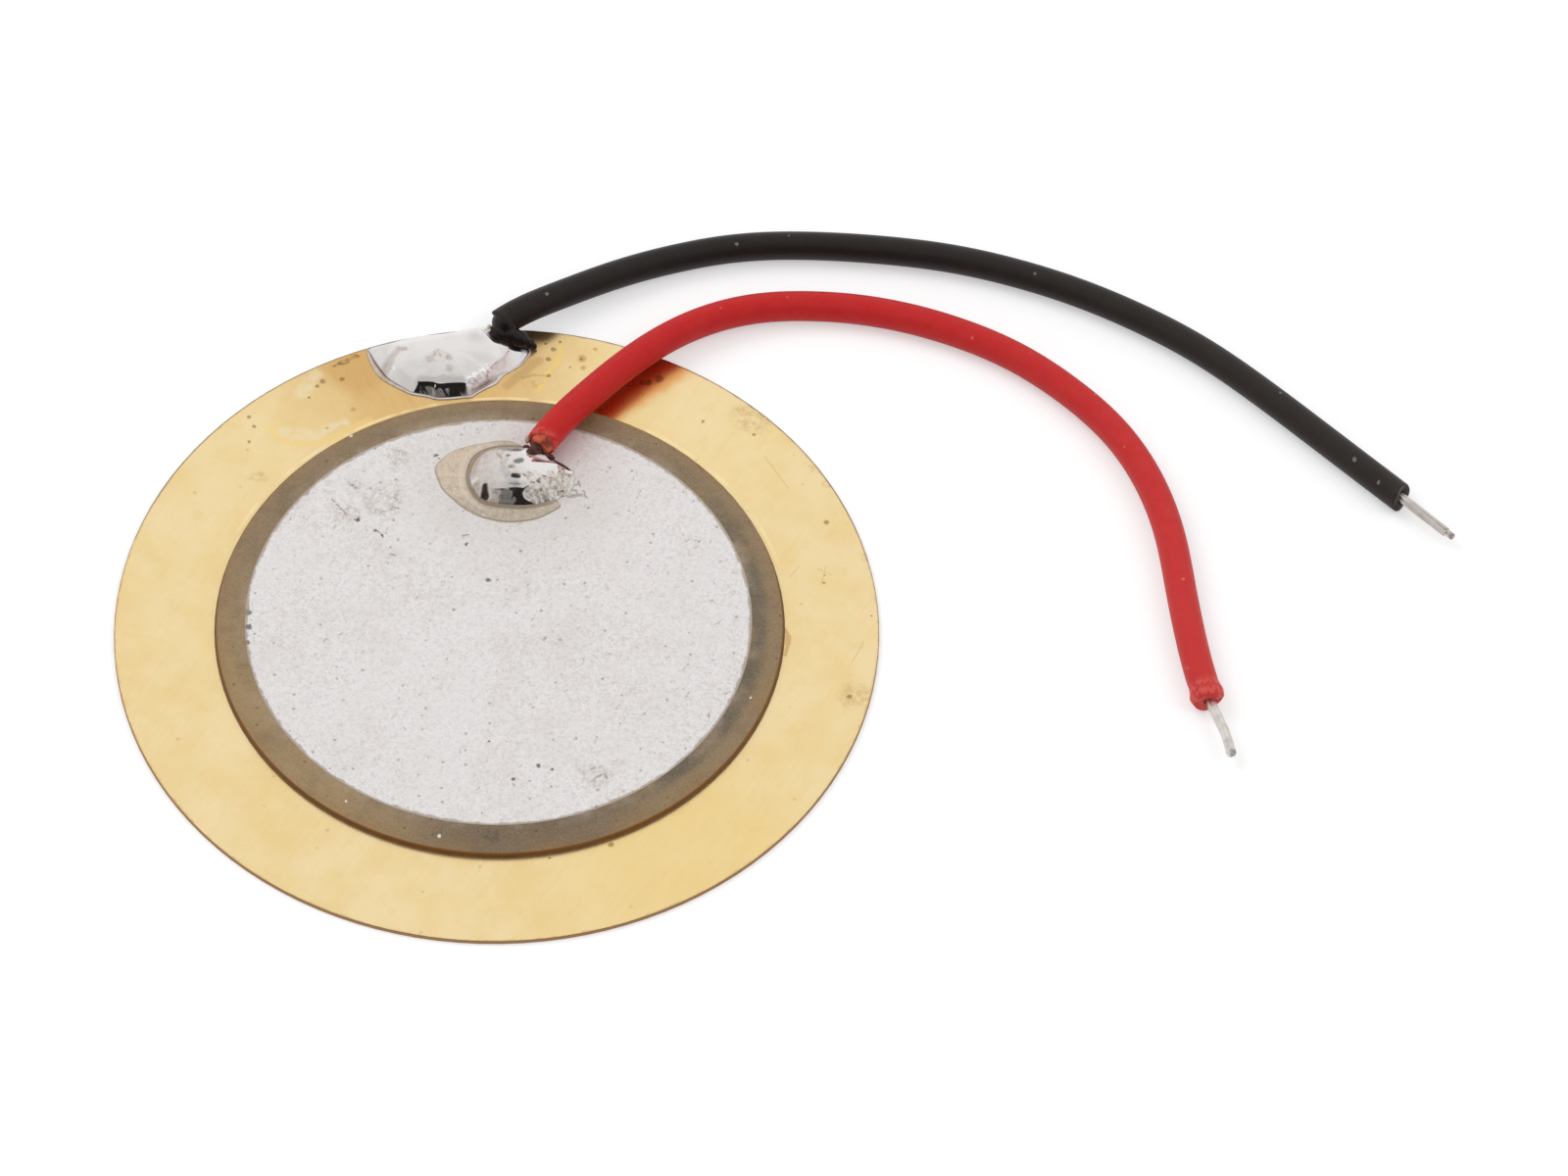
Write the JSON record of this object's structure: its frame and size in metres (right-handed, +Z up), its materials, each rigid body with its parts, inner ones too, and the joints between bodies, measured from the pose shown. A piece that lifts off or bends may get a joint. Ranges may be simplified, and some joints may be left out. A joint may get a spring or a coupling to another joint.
{
  "type": "piezo disc",
  "caption": "Piezo disc: round brass plate with a silvered ceramic disc glued on it and two short soldered leads.",
  "frame": {"origin": "centre of the brass plate's underside, which rests on the table", "axes": "+Z up through the plate, ceramic on top; +X towards the side on which the leads leave; +Y towards the rim with the black lead's joint"},
  "size_m": [0.0475, 0.0315, 0.0016],
  "materials": {
    "brass": "polished, with tarnish specks and heat tint near the joint",
    "glue": "cured brown adhesive",
    "ceramic": "satin, grey-brown, fired",
    "silver_film": "matt fired silver, finely pitted",
    "solder": "bright tin-lead solder",
    "flux": "dried flux, tan and translucent",
    "tinned_wire": "tinned, satin",
    "black_pvc": "satin black",
    "red_pvc": "satin red"
  },
  "bodies": {
    "root": {"brass_plate": "brass", "bond_layer": "glue", "lower_electrode": "silver_film", "piezo_ceramic": "ceramic", "upper_electrode": "silver_film", "rim_solder": "solder", "electrode_solder": "solder", "flux_residue": "flux", "black_conductor": "tinned_wire", "black_insulation": "black_pvc", "red_conductor": "tinned_wire", "red_insulation": "red_pvc"}
  },
  "joints": []
}
